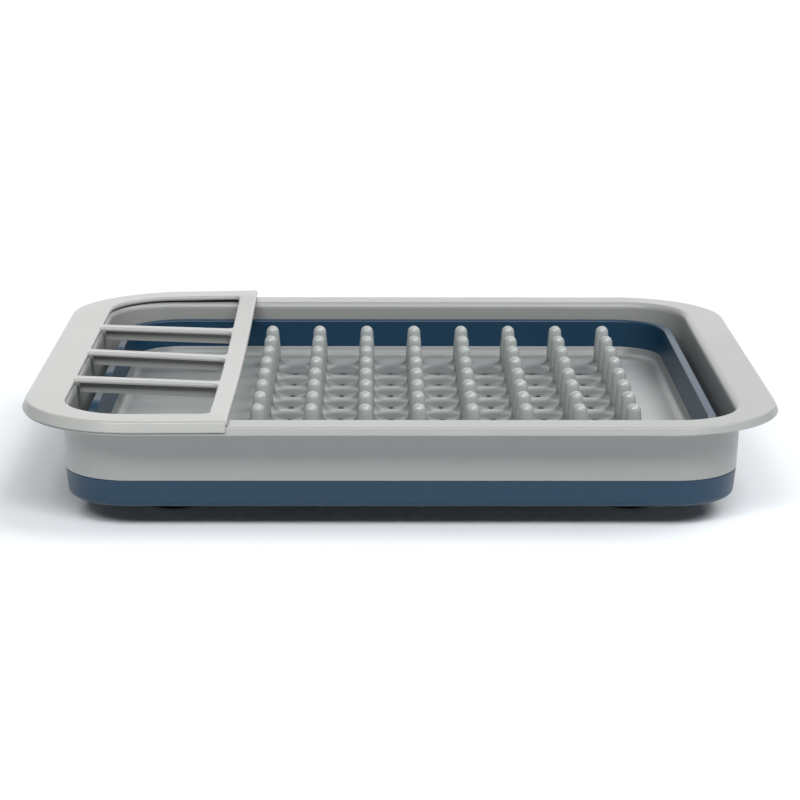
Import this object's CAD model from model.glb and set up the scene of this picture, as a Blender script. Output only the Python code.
import math

import bmesh
import bpy
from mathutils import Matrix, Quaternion, Vector
from mathutils.geometry import delaunay_2d_cdt


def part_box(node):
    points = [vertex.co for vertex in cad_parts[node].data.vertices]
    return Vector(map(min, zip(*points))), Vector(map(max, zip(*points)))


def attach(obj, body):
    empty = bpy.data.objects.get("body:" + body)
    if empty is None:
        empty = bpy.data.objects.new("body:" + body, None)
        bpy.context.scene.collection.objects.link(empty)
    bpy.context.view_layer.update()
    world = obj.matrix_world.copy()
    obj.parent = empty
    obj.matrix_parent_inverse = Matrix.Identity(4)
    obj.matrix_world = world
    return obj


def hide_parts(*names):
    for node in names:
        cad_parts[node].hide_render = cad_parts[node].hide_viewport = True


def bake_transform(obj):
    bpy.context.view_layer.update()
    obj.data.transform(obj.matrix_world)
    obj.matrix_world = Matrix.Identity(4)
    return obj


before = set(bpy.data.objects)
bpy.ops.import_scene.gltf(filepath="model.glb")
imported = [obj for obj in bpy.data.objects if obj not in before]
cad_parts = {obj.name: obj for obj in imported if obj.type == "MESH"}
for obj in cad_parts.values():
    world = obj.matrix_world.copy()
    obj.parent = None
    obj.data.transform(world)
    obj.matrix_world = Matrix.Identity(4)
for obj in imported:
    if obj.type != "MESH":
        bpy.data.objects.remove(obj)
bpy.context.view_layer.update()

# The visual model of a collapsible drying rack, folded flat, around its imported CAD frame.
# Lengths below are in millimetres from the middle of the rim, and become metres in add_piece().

MM = 0.001
TURN = 2 * math.pi

# ---------------------------------------------------------------- driving dimensions

rim_low, rim_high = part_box("rim_frame")
MIDDLE_X = (rim_low.x + rim_high.x) / 2


def cad_size(node):
    """Lowest and highest corner of a CAD node, in millimetres from the middle of the rim."""
    low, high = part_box(node)
    shift = Vector((MIDDLE_X, 0, 0))
    return (low - shift) / MM, (high - shift) / MM


rim_low, rim_high = cad_size("rim_frame")
tray_high = cad_size("base_tray")[1]
foot_low, foot_high = cad_size("foot_front_right")

LIP_FLARE = 1.7  # how far the rim's lip stands out at its bottom
FLANGE = 18  # width of the flange at the ends of the rim
FLANGE_LONG = 14.7  # its width along the long sides
# Half length, half depth and corner radius of the flange's top edge, then of the outer face of the walls.
RIM = (rim_high.x - LIP_FLARE, rim_high.y - LIP_FLARE, 57)
WALL = (RIM[0] - FLANGE, RIM[1] - FLANGE_LONG, 35)
ROUNDER = 8  # corners inside the fold are this much rounder than those outside it
FOLD_SPAN = (4.5, 8)  # insets between which they get rounder
RIM_TOP = rim_high.z
BAND_BOTTOM = rim_low.z
BAND_WALL = 2.6  # thickness of the rigid band under the flange
BAND_TAPER = 1  # how much the band narrows towards its bottom
FLANGE_THICK = 2.2
LIP = 2.1  # thickness of the lip
LIP_BOTTOM = RIM_TOP - 3.9

FOLD_BOTTOM = 10.5
RUBBER = 1.8  # thickness of the wall
RISER_FOOT = 8.6  # outer face of the riser at its bottom and its top, inward from WALL
RISER_HEAD = 10.9
RIDGE_TOP = 47  # top of the crest round the tray
RIDGE_OUT = 10.3  # its outer and inner edge
RIDGE_IN = 14.6

TRAY_OUT = 15.2  # outer face of the tray's raised edge, hidden in the rubber
TRAY_IN = 16.4  # top of its inner face, where the rubber ends
TRAY_EDGE = tray_high.z
TRAY_BOTTOM = 24
FLOOR = 26.4  # floor between the drain holes
HOLLOW = 0.8  # depth of the funnel at a drain hole
RIDGE_RISE = 1.6  # height of the ridges between the drain holes
PEG_PITCH = (26.8, 26.3)
PEG_COUNT = 8
PEG_MIDDLE_X = 22.2
PEG_TOP = 51
PEG_DOME = 3.65  # radius of a peg's tip
PEG_FOOT = 4.6  # its radius above the flare that blends it into the floor
FLARE_FROM = 10.6  # radius at which the flare begins
FLARE_RISE = 3.4
DRAIN = 1.5  # radius of a drain hole

FOOT_RADIUS = (foot_high.x - foot_low.x) / 2
FOOT_PLACES = [(x, y) for x in (-114, 114) for y in (-91, 91)]
FOOT_NODES = ["foot_front_left", "foot_back_left", "foot_front_right", "foot_back_right"]

HOLDER_TOP = RIM_TOP + 2.5
HOLDER_PLATE = 2.2  # thickness of its plate
HOLDER_FLARE = 2.5  # how far its skirt stands out at its bottom
HOLDER_RIGHT = -83  # its free edge
CROSSBAR_LEFT = HOLDER_RIGHT - 10
SKIRT = 1.1  # thickness of the skirt
SKIRT_BOTTOM = 52.3
BAR_WIDTH = 8.5
BAR_PITCH = 62
SLOT_INSET = 1.8  # of the slots' outer sides, from WALL
SLOT_CORNER = 3.6  # corner radius of the slots at the crossbar
BAR_CORNER = 1.6  # the same at the other end of the bars
WEB = (2, 5.6)  # thickness and depth of the rib under a bar
SAG = (-3.9, 1.6, 0.4)  # free edge against the seated end: middle, back, front

CORNER_STEPS = 24


# ---------------------------------------------------------------- meshes

def add_piece(name, points, faces, material, body, nodes, slot):
    """A mesh from millimetres that moves with a CAD body and stands for CAD nodes."""
    mesh = bpy.data.meshes.new(name)
    mesh.from_pydata([(x * MM + MIDDLE_X, y * MM, z * MM) for x, y, z in points], [], faces)
    bm = bmesh.new()
    bm.from_mesh(mesh)
    bmesh.ops.remove_doubles(bm, verts=bm.verts, dist=0.002 * MM)
    bmesh.ops.dissolve_degenerate(bm, edges=bm.edges, dist=0.002 * MM)
    bmesh.ops.recalc_face_normals(bm, faces=bm.faces)
    bm.to_mesh(mesh)
    bm.free()
    mesh.polygons.foreach_set("use_smooth", [True] * len(mesh.polygons))
    mesh.set_sharp_from_angle(angle=math.radians(38))
    mesh.materials.append(material)
    piece = bpy.data.objects.new(name, mesh)
    bpy.context.scene.collection.objects.link(piece)
    weigh = piece.modifiers.new("even_shading", "WEIGHTED_NORMAL")
    weigh.keep_sharp = True
    if body:
        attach(piece, body)
    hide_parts(*nodes)
    return piece


def plan(inset):
    """Half length, half depth and corner radius of the plan at this inset from the walls' outer face."""
    if inset >= 0:
        start, end = FOLD_SPAN
        rounder = ROUNDER * min(max((inset - start) / (end - start), 0), 1)
        return [WALL[0] - inset, WALL[1] - inset, WALL[2] - inset + rounder]
    width = RIM[0] - WALL[0]
    share = min(-inset / width, 1)
    beyond = max(-inset - width, 0)
    return [w + share * (r - w) + beyond for w, r in zip(WALL, RIM)]


def outline(inset, steps=CORNER_STEPS):
    """Points round the rounded rectangle at this inset, anticlockwise from its right side."""
    x, y, r = plan(inset)
    points = []
    for corner, (sx, sy) in enumerate([(1, 1), (-1, 1), (-1, -1), (1, -1)]):
        for step in range(steps + 1):
            angle = (corner + step / steps) * TURN / 4
            points.append((sx * (x - r) + r * math.cos(angle), sy * (y - r) + r * math.sin(angle)))
    return points


def rounded(corners, steps=5):
    """A closed section from corners given as (inset, height, fillet radius)."""
    points = []
    for i, (s, z, radius) in enumerate(corners):
        here = Vector((s, z))
        back = (Vector(corners[i - 1][:2]) - here).normalized()
        ahead = (Vector(corners[(i + 1) % len(corners)][:2]) - here).normalized()
        if not radius:
            points.append((s, z))
            continue
        half = back.angle(ahead) / 2
        middle = here + (back + ahead).normalized() * (radius / math.sin(half))
        first = here + back * (radius / math.tan(half)) - middle
        last = here + ahead * (radius / math.tan(half)) - middle
        for step in range(steps + 1):
            spoke = first.slerp(last, step / steps).normalized() * radius
            points.append(tuple(middle + spoke))
    return points


def strips(rings, closed_section=True):
    """Points and faces that join rings of equal length, each ring closed on itself."""
    count = len(rings[0])
    points = [p for ring in rings for p in ring]
    faces = []
    last = len(rings) if closed_section else len(rings) - 1
    for i in range(last):
        a, b = i * count, (i + 1) % len(rings) * count
        for j in range(count):
            k = (j + 1) % count
            faces.append((a + j, a + k, b + k, b + j))
    return points, faces


def swept(section):
    """A section of (inset, height) points carried round the plan."""
    return strips([[(x, y, z) for x, y in outline(s)] for s, z in section])


def turned(profile, place, sides=48):
    """A lathed solid: profile of (radius, height) points, at a place in plan."""
    rings = []
    spokes = [(math.cos(TURN * k / sides), math.sin(TURN * k / sides)) for k in range(sides)]
    for r, z in profile:
        r = max(r, 0.001)
        rings.append([(place[0] + r * c, place[1] + r * s, z) for c, s in spokes])
    points, faces = strips(rings, closed_section=False)
    faces.append(tuple(range(sides)))
    faces.append(tuple(range(len(points) - sides, len(points))))
    return points, faces


def gathered(parts):
    """Several (points, faces) as one."""
    points, faces = [], []
    for part_points, part_faces in parts:
        offset = len(points)
        points += part_points
        faces += [tuple(i + offset for i in face) for face in part_faces]
    return points, faces


# ---------------------------------------------------------------- materials

BROAD_SCALE = 9  # of the slow drifts of colour and gloss, per metre
GLOSS_DRIFT = 0.04
# Dark inside the drain holes, darker in the hollows than on the ridges, and paler up the pegs.
TRAY_STOPS = [
    (24.05, 1), (24.15, 0.2), (25.6, 0.2), (26.2, 0.7), (27.1, 0.76), (28, 1.2), (29, 0.76), (31, 0.62),
    (34, 1.1), (47, 1.55),
]
TIP_POLISH = (40, 46, 0.1)  # heights between which the pegs get smoother, and the roughness of their tips


def noise(tree, place, scale, detail):
    """A noise over the object's own coordinates."""
    texture = tree.nodes.new("ShaderNodeTexNoise")
    texture.inputs["Scale"].default_value = scale
    texture.inputs["Detail"].default_value = detail
    tree.links.new(place, texture.inputs["Vector"])
    return texture.outputs["Fac"]


def mapped(tree, value, span, results):
    """A value mapped from a span on to a pair of results, and held at its ends."""
    node = tree.nodes.new("ShaderNodeMapRange")
    for name, number in zip(["From Min", "From Max", "To Min", "To Max"], [*span, *results]):
        node.inputs[name].default_value = number
    tree.links.new(value, node.inputs["Value"])
    return node.outputs["Result"]


def tinted(tree, colour, shade, factor):
    """A colour that drifts a share darker and lighter with a factor."""
    tint = tree.nodes.new("ShaderNodeMix")
    tint.data_type = "RGBA"
    tint.inputs["A"].default_value = (*[c * (1 - shade) for c in colour], 1)
    tint.inputs["B"].default_value = (*[c * (1 + shade) for c in colour], 1)
    tree.links.new(factor, tint.inputs["Factor"])
    return tint.outputs["Result"]


def by_height(tree, colour, height, stops):
    """A colour times the factors of (height, factor) stops. The largest factor is 1."""
    ramp = tree.nodes.new("ShaderNodeValToRGB")
    start, end = stops[0][0], stops[-1][0]
    for k, (level, factor) in enumerate(stops):
        stop = ramp.color_ramp.elements[k] if k < 2 else ramp.color_ramp.elements.new(1)
        stop.position = (level - start) / (end - start)
        stop.color = (factor, factor, factor, 1)
    tree.links.new(mapped(tree, height, (start * MM, end * MM), (0, 1)), ramp.inputs["Fac"])
    weigh = tree.nodes.new("ShaderNodeMix")
    weigh.data_type = "RGBA"
    weigh.blend_type = "MULTIPLY"
    weigh.inputs["Factor"].default_value = 1
    tree.links.new(colour, weigh.inputs["A"])
    tree.links.new(ramp.outputs["Color"], weigh.inputs["B"])
    return weigh.outputs["Result"]


def finish(name, colour, roughness, grain, relief, shade, stops=None, polish=None):
    """A moulded material: fine grain in its surface, and slow drifts of colour and roughness.

    stops are (height, factor) pairs for a colour that changes with height. A material that has them also has
    polish: the two heights between which it gets smoother, and the roughness it reaches.
    """
    material = bpy.data.materials.new(name)
    material.use_nodes = True
    tree = material.node_tree
    shader = tree.nodes["Principled BSDF"]
    shader.inputs["IOR"].default_value = 1.5
    place = tree.nodes.new("ShaderNodeTexCoord").outputs["Object"]

    bump = tree.nodes.new("ShaderNodeBump")
    bump.inputs["Strength"].default_value = 1
    bump.inputs["Distance"].default_value = relief * MM
    tree.links.new(noise(tree, place, grain, 3), bump.inputs["Height"])
    tree.links.new(bump.outputs["Normal"], shader.inputs["Normal"])

    broad = noise(tree, place, BROAD_SCALE, 2)
    if stops:
        split = tree.nodes.new("ShaderNodeSeparateXYZ")
        tree.links.new(place, split.inputs["Vector"])
        height = split.outputs["Z"]
        largest = max(factor for _, factor in stops)
        gloss = mapped(tree, height, (polish[0] * MM, polish[1] * MM), (roughness, polish[2]))
        tint = tinted(tree, [c * largest for c in colour], shade, broad)
        tint = by_height(tree, tint, height, [(level, factor / largest) for level, factor in stops])
    else:
        gloss = mapped(tree, broad, (0, 1), (roughness - GLOSS_DRIFT, roughness + GLOSS_DRIFT))
        tint = tinted(tree, colour, shade, broad)
    tree.links.new(gloss, shader.inputs["Roughness"])
    tree.links.new(tint, shader.inputs["Base Color"])
    return material


rim_plastic = finish("rim_plastic", (0.346, 0.354, 0.343), 0.34, 900, 0.02, 0.015)
holder_plastic = finish("holder_plastic", (0.395, 0.4, 0.382), 0.32, 900, 0.025, 0.015)
tray_plastic = finish("tray_plastic", (0.262, 0.278, 0.276), 0.33, 700, 0.01, 0.02, TRAY_STOPS, TIP_POLISH)
wall_rubber = finish("wall_rubber", (0.003, 0.034, 0.074), 0.38, 1100, 0.03, 0.05)
foot_rubber = finish("foot_rubber", (0.012, 0.013, 0.014), 0.6, 1100, 0.04, 0.05)


# ---------------------------------------------------------------- rim frame

band_in = BAND_TAPER + BAND_WALL
rim_section = rounded([
    (-FLANGE, RIM_TOP, 1.2),
    (-FLANGE - LIP_FLARE, LIP_BOTTOM, 0.4),
    (-FLANGE - LIP_FLARE + LIP, LIP_BOTTOM, 0.4),
    (-FLANGE + LIP, RIM_TOP - FLANGE_THICK, 0.6),
    (0, RIM_TOP - FLANGE_THICK, 0.8),
    (BAND_TAPER, BAND_BOTTOM, 0.5),
    (band_in, BAND_BOTTOM, 0.5),
    (BAND_WALL, RIM_TOP, 3.7),
], steps=7)
add_piece("rim", *swept(rim_section), rim_plastic, "rim", ["rim_frame"], "rim_plastic")

# ---------------------------------------------------------------- folding wall

# Hung from the rim: down from the rigid band, round the bottom turn and a little way up.
hem_top = BAND_BOTTOM - 0.1
hem = rounded([
    (BAND_TAPER + 0.1, hem_top, 0.3),
    (BAND_TAPER + 1.5, FOLD_BOTTOM, 3),
    (RISER_FOOT + RUBBER + 0.5, FOLD_BOTTOM, 2.6),
    (RISER_FOOT + RUBBER + 0.6, FOLD_BOTTOM + 4.2, 0.2),
    (RISER_FOOT - 0.3, FOLD_BOTTOM + 4.2, 0.2),
    (RISER_FOOT - 0.6, FOLD_BOTTOM + RUBBER + 0.4, 1.2),
    (BAND_TAPER + 4.6, FOLD_BOTTOM + RUBBER + 0.4, 1.2),
    (BAND_TAPER + BAND_WALL + 0.3, 18.5, 4),
    (band_in - 0.05, hem_top, 0.3),
])
add_piece("wall_hem", *swept(hem), wall_rubber, "rim", ["wall_outer"], "wall_rubber")

# The riser turns inside out as the rim goes up, so it bends between the two.
riser_bottom, riser_top = FOLD_BOTTOM + 1.4, RIDGE_TOP - 1.2
RISER_STEPS = 28
riser = []
for side in (0, RUBBER):
    heights = [riser_bottom + (riser_top - riser_bottom) * k / RISER_STEPS for k in range(RISER_STEPS + 1)]
    lean = (RISER_HEAD - RISER_FOOT) / RISER_STEPS
    wall = [(RISER_FOOT + side + lean * k, z) for k, z in enumerate(heights)]
    riser += wall if side == 0 else wall[::-1]
riser_piece = add_piece("wall_riser", *swept(riser), wall_rubber, None, ["wall_fold"], "wall_rubber")
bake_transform(riser_piece)

# The crest and the inner wall stand on the tray.
inner_foot = TRAY_OUT - 0.05
crest = rounded([
    (RIDGE_OUT, RIDGE_TOP, 0.9),
    (RIDGE_OUT + 0.1, RIDGE_TOP - 4.5, 0.3),
    (RIDGE_OUT + 0.55, RIDGE_TOP - 4.5, 0),
    (RIDGE_OUT + 0.6, RIDGE_TOP - 2.2, 0.3),
    (RIDGE_IN - RUBBER - 0.2, RIDGE_TOP - 2.2, 0.6),
    (inner_foot - RUBBER, TRAY_EDGE - 3, 0.3),
    (inner_foot - RUBBER, TRAY_BOTTOM + 2.2, 0.6),
    (inner_foot, TRAY_BOTTOM + 2.2, 0.4),
    (inner_foot, TRAY_EDGE + 0.05, 0.1),
    (TRAY_IN, TRAY_EDGE + 0.05, 0.25),
    (RIDGE_IN, RIDGE_TOP, 1.1),
])
add_piece("wall_crest", *swept(crest), wall_rubber, "base", ["wall_inner"], "wall_rubber")

# ---------------------------------------------------------------- tray and pegs

GRID_LEFT = PEG_MIDDLE_X - PEG_COUNT / 2 * PEG_PITCH[0]
GRID_FRONT = -PEG_COUNT / 2 * PEG_PITCH[1]
SIDE_STEPS = 8  # points along one side of a peg's cell
NOTCH_STEPS = 3  # points round a quarter of a drain hole


def nearest_drain(value, start, pitch):
    """The drain line nearest to a value: lines run between the pegs only, not round the field."""
    index = min(max(round((value - start) / pitch), 1), PEG_COUNT - 1)
    return start + index * pitch


def climbed(distance, start, end):
    """How far up its ridge a point is, from 0 to 1, between two distances from a drain line."""
    share = min(max((distance - start) / (end - start), 0), 1)
    return share * share * (3 - 2 * share)


def floor_height(x, y):
    """Top of the tray floor: a hollow at each drain hole, and ridges between them that carry the pegs."""
    dx = abs(x - nearest_drain(x, GRID_LEFT, PEG_PITCH[0])) / (PEG_PITCH[0] / 2)
    dy = abs(y - nearest_drain(y, GRID_FRONT, PEG_PITCH[1])) / (PEG_PITCH[1] / 2)
    funnel = HOLLOW * max(0, 1 - math.hypot(dx, dy)) ** 1.7
    beyond = abs(y) > (PEG_COUNT / 2 - 1) * PEG_PITCH[1]
    across = climbed(dy, 0.05, 1.5) if beyond else climbed(dy, 0.1, 0.85)
    return FLOOR - funnel + RIDGE_RISE * max(across, climbed(dx, 0.4, 0.95))


def cell_edge(i, j):
    """Points round the cell of peg (i, j), anticlockwise. A quarter drain hole is cut out of its corners."""
    x0, y0 = GRID_LEFT + i * PEG_PITCH[0], GRID_FRONT + j * PEG_PITCH[1]
    corners = []
    for a, b in [(0, 0), (1, 0), (1, 1), (0, 1)]:
        inside = 0 < i + a < PEG_COUNT and 0 < j + b < PEG_COUNT
        corners.append((Vector((x0 + a * PEG_PITCH[0], y0 + b * PEG_PITCH[1])), DRAIN if inside else 0))
    points = []
    for k, (corner, notch) in enumerate(corners):
        following, next_notch = corners[(k + 1) % 4]
        along = (following - corner).normalized()
        first, last = corner + along * notch, following - along * next_notch
        points += [first.lerp(last, step / SIDE_STEPS) for step in range(SIDE_STEPS + 1)]
        turn_from = -along
        turn_to = Vector((-along.y, along.x))
        for step in range(1, NOTCH_STEPS):
            angle = step / NOTCH_STEPS * TURN / 4
            spoke = turn_from * math.cos(angle) + turn_to * math.sin(angle)
            points.append(following + spoke * next_notch)
    return points


def peg_rings(i, j):
    """Rings from the edge of a peg's cell up to its tip."""
    centre = Vector((GRID_LEFT + (i + 0.5) * PEG_PITCH[0], GRID_FRONT + (j + 0.5) * PEG_PITCH[1]))
    edge = cell_edge(i, j)
    spokes = [(p - centre).normalized() for p in edge]
    rings = []
    for share in (1, 0.8, 0.6, 0.4, 0.2, 0):
        ring = []
        for p, spoke in zip(edge, spokes):
            q = p.lerp(centre + spoke * FLARE_FROM, 1 - share)
            ring.append((q.x, q.y, floor_height(q.x, q.y)))
        rings.append(ring)
    for r in (8.6, 7.6, 6.7, 5.9, 5.3, 4.9, PEG_FOOT + 0.1):
        ring = []
        for spoke in spokes:
            q = centre + spoke * r
            rise = FLARE_RISE * ((FLARE_FROM - r) / (FLARE_FROM - PEG_FOOT)) ** 2.3
            ring.append((q.x, q.y, floor_height(q.x, q.y) + rise))
        rings.append(ring)
    dome_middle = PEG_TOP - PEG_DOME
    stem = [(PEG_FOOT - 0.12, FLOOR + FLARE_RISE + 4), (4.2, 40.5), (PEG_DOME + 0.12, dome_middle - 1.5)]
    dome = [(PEG_DOME * math.cos(a), dome_middle + PEG_DOME * math.sin(a))
            for a in [math.radians(d) for d in (4, 20, 36, 52, 68, 80)]]
    for r, z in stem + dome + [(0.001, PEG_TOP)]:
        rings.append([(centre.x + s.x * r, centre.y + s.y * r, z) for s in spokes])
    return rings


def core_rings(i, j):
    """Rings of the underside of a peg's cell: flat, with the peg cored out from below."""
    centre = Vector((GRID_LEFT + (i + 0.5) * PEG_PITCH[0], GRID_FRONT + (j + 0.5) * PEG_PITCH[1]))
    edge = cell_edge(i, j)
    spokes = [(p - centre).normalized() for p in edge]
    rings = [[(p.x, p.y, TRAY_BOTTOM) for p in edge]]
    rings.append([(p.x, p.y, TRAY_BOTTOM) for p in [centre + s * 6 for s in spokes]])
    mouth = [(3.7, TRAY_BOTTOM), (3.3, TRAY_BOTTOM + 0.2), (3.1, TRAY_BOTTOM + 0.7)]
    for r, z in mouth + [(2.6, 36), (1.9, 46), (1.3, 47.2), (0.001, 47.6)]:
        rings.append([(centre.x + s.x * r, centre.y + s.y * r, z) for s in spokes])
    return rings


def tray_outline(inset):
    """Points round the tray at an inset, as many along each side as the peg field has round it."""
    x, y, r = plan(inset)
    r = max(r, 2)
    per_side = PEG_COUNT * SIDE_STEPS
    half_arc = SIDE_STEPS
    points = []
    for side in range(4):
        ahead = Vector([(1, 0), (0, 1), (-1, 0), (0, -1)][side])
        out = Vector([(0, -1), (1, 0), (0, 1), (-1, 0)][side])
        reach, run = (y, x) if side % 2 == 0 else (x, y)
        for k in range(per_side):
            if k < half_arc:
                angle = TURN / 8 * (1 - k / half_arc)
                spoke = out * math.cos(angle) - ahead * math.sin(angle)
                points.append(out * (reach - r) - ahead * (run - r) + spoke * r)
            elif k <= per_side - half_arc:
                share = (k - half_arc) / (per_side - 2 * half_arc)
                points.append(out * reach + ahead * (run - r) * (2 * share - 1))
            else:
                angle = TURN / 8 * (k - per_side + half_arc) / half_arc
                spoke = out * math.cos(angle) + ahead * math.sin(angle)
                points.append(out * (reach - r) + ahead * (run - r) + spoke * r)
    return points


def field_edge():
    """Points round the peg field, in step with tray_outline()."""
    x0, y0 = GRID_LEFT, GRID_FRONT
    x1, y1 = x0 + PEG_COUNT * PEG_PITCH[0], y0 + PEG_COUNT * PEG_PITCH[1]
    corners = [Vector(c) for c in [(x0, y0), (x1, y0), (x1, y1), (x0, y1)]]
    steps = PEG_COUNT * SIDE_STEPS
    return [corners[k].lerp(corners[(k + 1) % 4], step / steps) for k in range(4) for step in range(steps)]


# Inset and height where the floor begins to curve up into the tray's raised edge.
FLOOR_END = (TRAY_IN + 5.6, 27.1)
field = field_edge()
floor_end = tray_outline(FLOOR_END[0] + 0.6)
MARGIN_STEPS = 8
tray_rings = []
for step in range(MARGIN_STEPS + 1):
    share = step / MARGIN_STEPS
    ring = []
    for a, b in zip(field, floor_end):
        p = a.lerp(b, share)
        ease = share * share * (3 - 2 * share)
        ring.append((p.x, p.y, floor_height(a.x, a.y) * (1 - ease) + FLOOR_END[1] * ease))
    tray_rings.append(ring)
edge_section = [
    FLOOR_END,
    (TRAY_IN + 4.3, 27.3),
    (TRAY_IN + 3.2, 27.7),
    (TRAY_IN + 2.3, 28.3),
    (TRAY_IN + 1.6, 29.1),
    (TRAY_IN + 1.1, 30),
    (TRAY_IN + 0.3, TRAY_EDGE - 0.5),
    (TRAY_IN + 0.1, TRAY_EDGE - 0.1),
    (TRAY_IN, TRAY_EDGE),
    (TRAY_OUT + 0.5, TRAY_EDGE),
    (TRAY_OUT + 0.15, TRAY_EDGE - 0.15),
    (TRAY_OUT, TRAY_EDGE - 0.5),
    (TRAY_OUT, TRAY_BOTTOM + 1.6),
    (TRAY_OUT + 0.4, TRAY_BOTTOM + 0.6),
    (TRAY_OUT + 1.6, TRAY_BOTTOM),
]
for inset, z in edge_section:
    tray_rings.append([(p.x, p.y, z) for p in tray_outline(inset)])
tray_rings.append([(p.x, p.y, TRAY_BOTTOM) for p in field])

tray_parts = [strips(tray_rings, closed_section=False)]
for i in range(PEG_COUNT):
    for j in range(PEG_COUNT):
        tray_parts.append(strips(peg_rings(i, j), closed_section=False))
        tray_parts.append(strips(core_rings(i, j), closed_section=False))


def drain_wall(i, j):
    """The wall of the drain hole at the corner that four cells share."""
    x, y = GRID_LEFT + i * PEG_PITCH[0], GRID_FRONT + j * PEG_PITCH[1]
    sides = 4 * NOTCH_STEPS
    spokes = [(math.cos(TURN * k / sides), math.sin(TURN * k / sides)) for k in range(sides)]
    rim = [(x + DRAIN * c, y + DRAIN * s) for c, s in spokes]
    return strips([
        [(a, b, floor_height(a, b)) for a, b in rim],
        [(a, b, TRAY_BOTTOM) for a, b in rim],
    ], closed_section=False)


for i in range(1, PEG_COUNT):
    for j in range(1, PEG_COUNT):
        tray_parts.append(drain_wall(i, j))

# A leg: down the bore for its foot's stem, across its end and up its outside to the tray.
leg_profile = [
    (0, 7.9), (4.35, 7.9), (4.35, 3.3), (4.7, 3.0), (10.9, 3.0), (11.4, 3.2), (11.6, 3.8), (13, 23.2),
    (13.5, 24.2), (13.5, 25), (0, 25),
]
for place in FOOT_PLACES:
    tray_parts.append(turned(leg_profile, place))
peg_nodes = [f"peg_row_{k + 1}" for k in range(PEG_COUNT)]
tray_nodes = ["base_tray", *peg_nodes]
add_piece("tray", *gathered(tray_parts), tray_plastic, "base", tray_nodes, "tray_plastic")

# ---------------------------------------------------------------- feet

# A foot: a flat pad with a rounded edge, and a stem that is pushed into the leg.
foot_profile = [
    (0, 0), (FOOT_RADIUS - 1.1, 0), (FOOT_RADIUS - 0.5, 0.15), (FOOT_RADIUS - 0.1, 0.5), (FOOT_RADIUS, 0.9),
    (FOOT_RADIUS, 2.3), (FOOT_RADIUS - 0.1, 2.6), (FOOT_RADIUS - 0.4, 2.7), (4, 2.7), (4, 7.1), (3.7, 7.5),
    (0, 7.5),
]
for node, place in zip(FOOT_NODES, FOOT_PLACES):
    add_piece(f"{node}_pad", *turned(foot_profile, place, 64), foot_rubber, "base", [node], "foot_rubber")


# ---------------------------------------------------------------- cutlery holder

def settle(x, y):
    """How far a point of the holder is above its flat shape. Its free edge sags between its held ends."""
    middle, back, front = SAG
    seated = -WALL[0] + SLOT_INSET
    share = min(max((x - seated) / (HOLDER_RIGHT - seated), 0), 1)
    across = min(max(y / WALL[1], -1), 1)
    return share * (middle + (back - front) / 2 * across + ((back + front) / 2 - middle) * across ** 2)


def contour(corners, spacing=4.0, steps=8):
    """A closed path with rounded corners, as (point, outward normal) pairs.

    Corners are (x, y, radius), anticlockwise.
    """
    arcs = []
    for i, (x, y, radius) in enumerate(corners):
        here = Vector((x, y))
        back = (Vector(corners[i - 1][:2]) - here).normalized()
        ahead = (Vector(corners[(i + 1) % len(corners)][:2]) - here).normalized()
        middle = here + (back + ahead) * radius
        count = max(steps, int(radius))
        arc = []
        for step in range(count + 1):
            angle = step / count * TURN / 4
            normal = -ahead * math.cos(angle) - back * math.sin(angle)
            arc.append((middle + normal * radius, normal))
        arcs.append(arc)
    path = []
    for i, arc in enumerate(arcs):
        path += arc
        start, normal = arc[-1]
        end = arcs[(i + 1) % len(arcs)][0][0]
        count = max(1, round((end - start).length / spacing))
        path += [(start.lerp(end, k / count), normal) for k in range(1, count)]
    return path


PLATE_BOTTOM = HOLDER_TOP - HOLDER_PLATE
FREE_CORNER = 0.8  # corner radius at the two ends of the free edge
outer = contour([
    (HOLDER_RIGHT, -RIM[1], FREE_CORNER),
    (HOLDER_RIGHT, RIM[1], FREE_CORNER),
    (-RIM[0], RIM[1], RIM[2]),
    (-RIM[0], -RIM[1], RIM[2]),
])
slot_left, slot_end = -WALL[0] + SLOT_INSET, WALL[1] - SLOT_INSET
bar_middles = [-BAR_PITCH, 0, BAR_PITCH]
slot_fronts = [-slot_end] + [y + BAR_WIDTH / 2 for y in bar_middles]
slot_backs = [y - BAR_WIDTH / 2 for y in bar_middles] + [slot_end]
slots = []
for y0, y1 in zip(slot_fronts, slot_backs):
    big = WALL[2] - SLOT_INSET
    front_r = big if y0 == -slot_end else BAR_CORNER
    back_r = big if y1 == slot_end else BAR_CORNER
    slots.append(contour([
        (slot_left, y0, front_r),
        (CROSSBAR_LEFT, y0, SLOT_CORNER),
        (CROSSBAR_LEFT, y1, SLOT_CORNER),
        (slot_left, y1, back_r),
    ]))

SKIRT_END = HOLDER_RIGHT - FREE_CORNER + 0.05  # the skirt stops where the free edge's corner begins to turn
EDGE_START = -2.6  # where the rounded edge begins on top of the plate, outward from its contour
skirted_edge = rounded([
    (EDGE_START, HOLDER_TOP, 0),
    (0.3, HOLDER_TOP, 1.6),
    (HOLDER_FLARE, SKIRT_BOTTOM, 0.5),
    (HOLDER_FLARE - SKIRT, SKIRT_BOTTOM, 0.4),
    (0.4, PLATE_BOTTOM - 0.2, 0.3),
    (EDGE_START, PLATE_BOTTOM, 0),
], steps=5)
plain_edge = rounded([
    (EDGE_START, HOLDER_TOP, 0),
    (0, HOLDER_TOP, 1.5),
    (0, PLATE_BOTTOM, 0.4),
    (EDGE_START, PLATE_BOTTOM, 0),
], steps=11)  # as many points as the skirted edge has, with its four rounded corners


def edge_profile(point, is_slot):
    """(outward offset, height) points down the plate's edge, from its flat top to its flat underside."""
    return plain_edge if is_slot or point.x > SKIRT_END else skirted_edge


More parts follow.
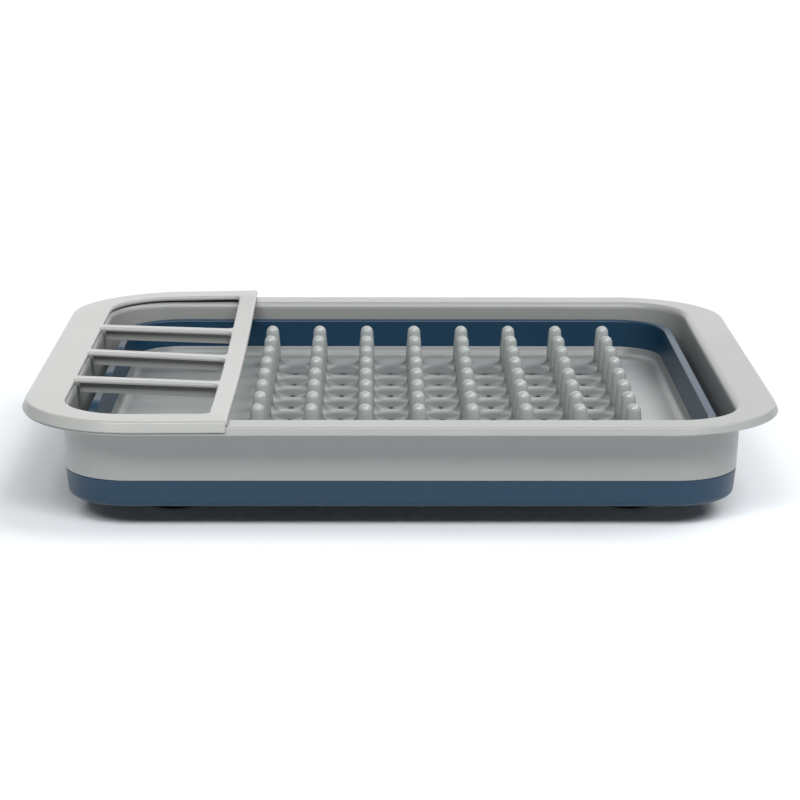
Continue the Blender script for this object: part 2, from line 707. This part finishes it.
def edge_strip(path, is_slot):
    """The rounded edge along one contour, and the flat loops on top and underneath."""
    sign = -1 if is_slot else 1
    columns = []
    for point, normal in path:
        column = []
        for off, z in edge_profile(point, is_slot):
            x, y = point + normal * sign * off
            if not is_slot and off < 0:  # inside the small corners of the free edge the loops are mitred
                x = min(x, HOLDER_RIGHT + off)
                y = min(max(y, -RIM[1] - off), RIM[1] + off)
            column.append((x, y, z))
        columns.append(column)
    rings = [list(ring) for ring in zip(*columns)]
    return strips(rings, closed_section=False), rings[0], rings[-1]


def inside(x, y, loop):
    """Whether a point in plan is inside a loop of points."""
    hit = False
    for k, a in enumerate(loop):
        b = loop[k - 1]
        if (a[1] > y) != (b[1] > y) and x < (b[0] - a[0]) * (y - a[1]) / (b[1] - a[1]) + a[0]:
            hit = not hit
    return hit


def filled(loops, z):
    """A flat sheet between the first loop and the others, which are holes in it."""
    flat, edges = [], []
    for loop in loops:
        start = len(flat)
        flat += [Vector(p[:2]) for p in loop]
        edges += [(start + k, start + (k + 1) % len(loop)) for k in range(len(loop))]
    made = delaunay_2d_cdt(flat, edges, [], 0, 1e-5)
    points = [(p.x, p.y, z) for p in made[0]]
    faces = []
    for face in made[2]:
        x = sum(points[k][0] for k in face) / 3
        y = sum(points[k][1] for k in face) / 3
        if inside(x, y, loops[0]) and not any(inside(x, y, loop) for loop in loops[1:]):
            faces.append(tuple(face))
    return points, faces


holder_parts, tops, bottoms = [], [], []
for path, is_slot in [(outer, False)] + [(slot, True) for slot in slots]:
    part, top, bottom = edge_strip(path, is_slot)
    holder_parts.append(part)
    tops.append(top)
    bottoms.append(bottom)
holder_parts.append(filled(tops, HOLDER_TOP))
holder_parts.append(filled(bottoms, PLATE_BOTTOM))


def web(y, steps=24):
    """The rib under a bar, with rounded lower edges."""
    half, bottom, top = WEB[0] / 2, PLATE_BOTTOM - WEB[1], PLATE_BOTTOM + 0.5
    section = [(-half, top), (-half, bottom + 0.5), (-half + 0.15, bottom + 0.15), (-half + 0.5, bottom),
               (half - 0.5, bottom), (half - 0.15, bottom + 0.15), (half, bottom + 0.5), (half, top)]
    start, end = -WALL[0] + BAND_WALL + 1.2, HOLDER_RIGHT - 1.2
    rings = [[(start + (end - start) * k / steps, y + a, z) for a, z in section] for k in range(steps + 1)]
    points, faces = strips(rings, closed_section=False)
    faces.append(tuple(range(len(section))))
    faces.append(tuple(range(len(points) - len(section), len(points))))
    return points, faces


holder_parts += [web(y) for y in bar_middles]
holder_points, holder_faces = gathered(holder_parts)
holder_points = [(x, y, z + settle(x, y)) for x, y, z in holder_points]
holder_mesh = (holder_points, holder_faces)
add_piece("holder", *holder_mesh, holder_plastic, "holder", ["cutlery_holder"], "rim_plastic")

# ---------------------------------------------------------------- floor, light and camera

SPREAD = 40  # half the side of the floor, in metres, so that its edges stay out of low views
FLOOR_GAP = 0.0002  # the feet stand this far above it
floor_corners = [(x * SPREAD, y * SPREAD, 0) for x, y in [(-1, -1), (1, -1), (1, 1), (-1, 1)]]
floor_mesh = bpy.data.meshes.new("floor")
floor_mesh.from_pydata(floor_corners, [], [(0, 1, 2, 3)])
floor = bpy.data.objects.new("floor", floor_mesh)
floor.location.z = -FLOOR_GAP
bpy.context.scene.collection.objects.link(floor)
floor_paint = bpy.data.materials.new("floor_paint")
floor_paint.use_nodes = True
floor_shader = floor_paint.node_tree.nodes["Principled BSDF"]
floor_shader.inputs["Base Color"].default_value = (0.9, 0.93, 0.96, 1)
floor_shader.inputs["Roughness"].default_value = 0.9
floor_shader.inputs["Specular IOR Level"].default_value = 0.1
floor_mesh.materials.append(floor_paint)

world = bpy.data.worlds.new("studio")
world.use_nodes = True
world.node_tree.nodes["Background"].inputs["Color"].default_value = (0.93, 0.97, 1, 1)
world.node_tree.nodes["Background"].inputs["Strength"].default_value = 0.127
bpy.context.scene.world = world


def towards(direction):
    """The rotation of a light that shines along a direction."""
    return Vector(direction).to_track_quat("-Z", "Y").to_euler()


def add_light(name, kind, energy, direction, distance=0.0, size=(0, 0)):
    """A light that shines along a direction towards the rack. Sizes are degrees across, or metres."""
    lamp = bpy.data.objects.new(name, bpy.data.lights.new(name, kind))
    lamp.data.energy = energy
    if kind == "SUN":
        lamp.data.angle = math.radians(size[0])
    else:
        lamp.data.shape = "RECTANGLE"
        lamp.data.size, lamp.data.size_y = size
    lamp.location = Vector(direction).normalized() * -distance
    lamp.rotation_euler = towards(direction)
    bpy.context.scene.collection.objects.link(lamp)


def arriving(azimuth, elevation):
    """The direction of light that comes from an azimuth, clockwise from the front, and an elevation."""
    a, e = math.radians(azimuth), math.radians(elevation)
    return math.sin(a) * math.cos(e), math.cos(a) * math.cos(e), -math.sin(e)


# A pair of lights high in front shows twice on each peg's tip. A broad one is overhead on the right.
for side, azimuth in [("left", 19), ("right", -19)]:
    add_light(f"overhead_{side}_front", "SUN", 0.95, arriving(azimuth, 53), size=(22, 0))
add_light("overhead_right", "SUN", 1.4, arriving(-90, 58), size=(40, 0))
# Two small boxes, lower, brighten the faces turned to the front.
add_light("softbox_left", "AREA", 3.6, arriving(33, 37), distance=1.6, size=(0.16, 0.24))
add_light("softbox_right", "AREA", 2.4, arriving(-33, 37), distance=1.6, size=(0.16, 0.24))
# A wide white screen low behind gives the sheen on all that faces up.
add_light("screen", "AREA", 38, arriving(180, 15), distance=3.5, size=(5, 1.7))

# The camera looks down by PITCH and a little to the right by YAW, from 1.3 m in front.
PITCH, YAW, ROLL = math.radians(13.84), math.radians(0.501), math.radians(0.155)
camera = bpy.data.objects.new("camera", bpy.data.cameras.new("camera"))
camera.data.sensor_width = 36
camera.data.lens = 112.73
camera.location = (MIDDLE_X - 0.01121, -1.3037, 0.3514)
ahead = Vector((math.sin(YAW) * math.cos(PITCH), math.cos(YAW) * math.cos(PITCH), -math.sin(PITCH)))
camera.rotation_mode = "QUATERNION"
camera.rotation_quaternion = ahead.to_track_quat("-Z", "Y") @ Quaternion((0, 0, 1), ROLL)
bpy.context.scene.collection.objects.link(camera)
bpy.context.scene.camera = camera

bpy.context.scene.view_settings.view_transform = "Standard"
bpy.context.scene.view_settings.look = "None"
